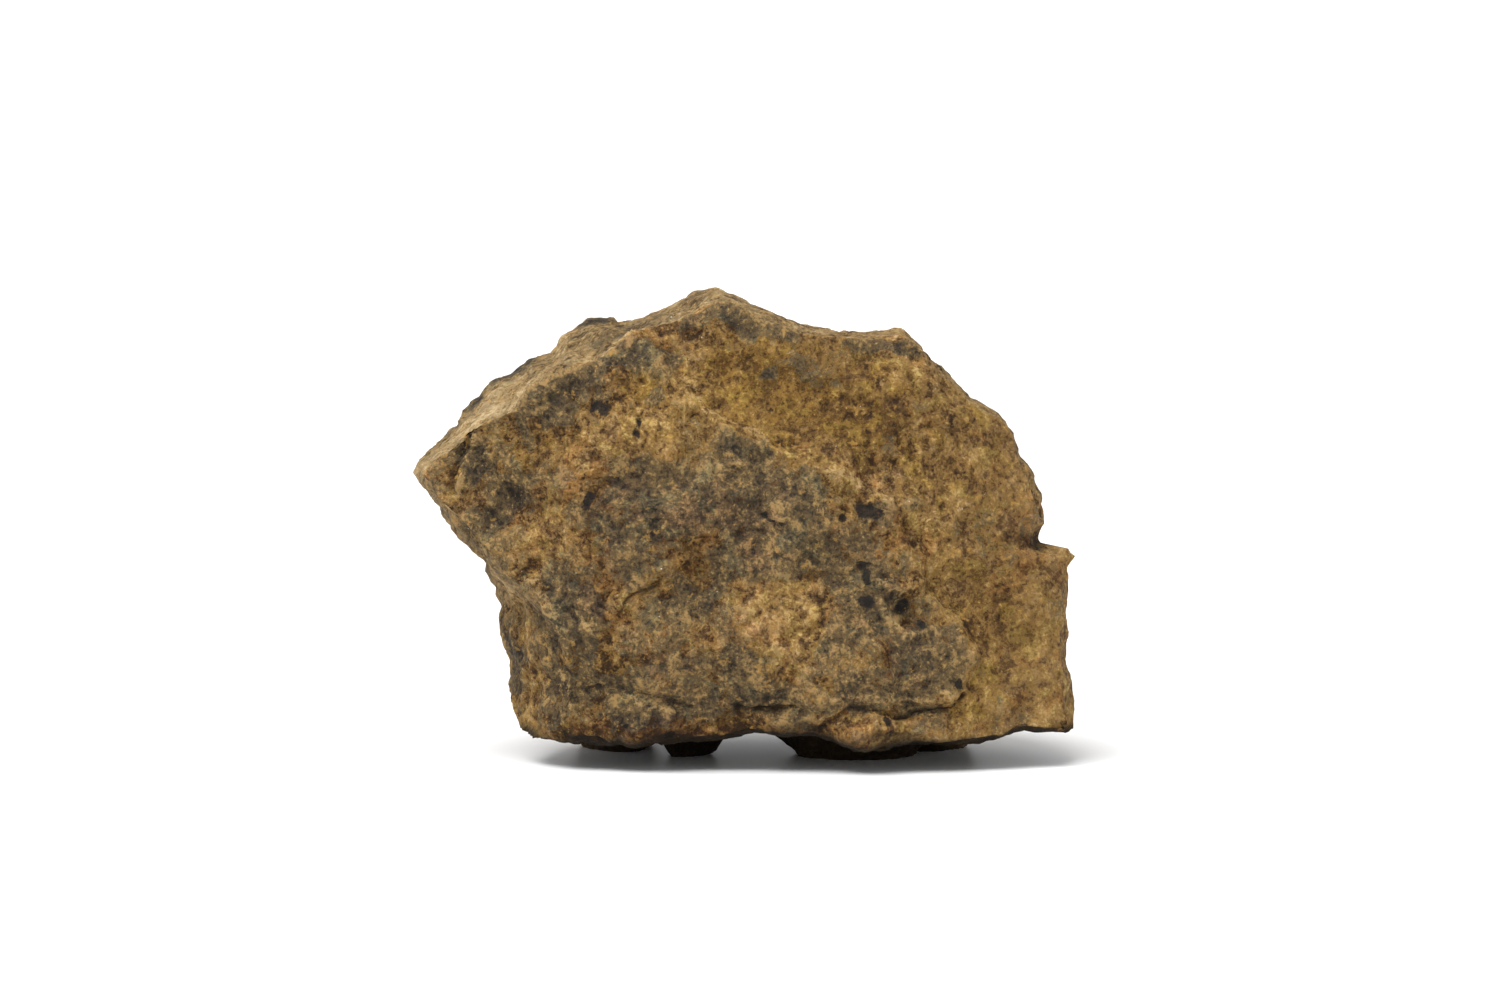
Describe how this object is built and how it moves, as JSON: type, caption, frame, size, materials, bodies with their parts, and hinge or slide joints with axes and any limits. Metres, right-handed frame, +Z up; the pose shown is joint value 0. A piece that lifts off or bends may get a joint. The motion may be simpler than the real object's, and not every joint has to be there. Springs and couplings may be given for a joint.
{
  "type": "iron meteorite",
  "caption": "Rusty, blocky iron meteorite specimen with a pointed tip, a raised dark plate on its front and low feet to rest on.",
  "frame": {"origin": "middle of the footprint of the whole stone, on the surface it rests on", "axes": "+X from the pointed tip towards the squared right side, +Y from the front face to the back, +Z up"},
  "size_m": [0.0554, 0.0318, 0.0395],
  "materials": {
    "rusty_iron": "matt brown rust and dark grey-brown patina, ochre in the hollows, finely rough"
  },
  "bodies": {
    "root": {"meteorite": "rusty_iron"}
  },
  "joints": []
}
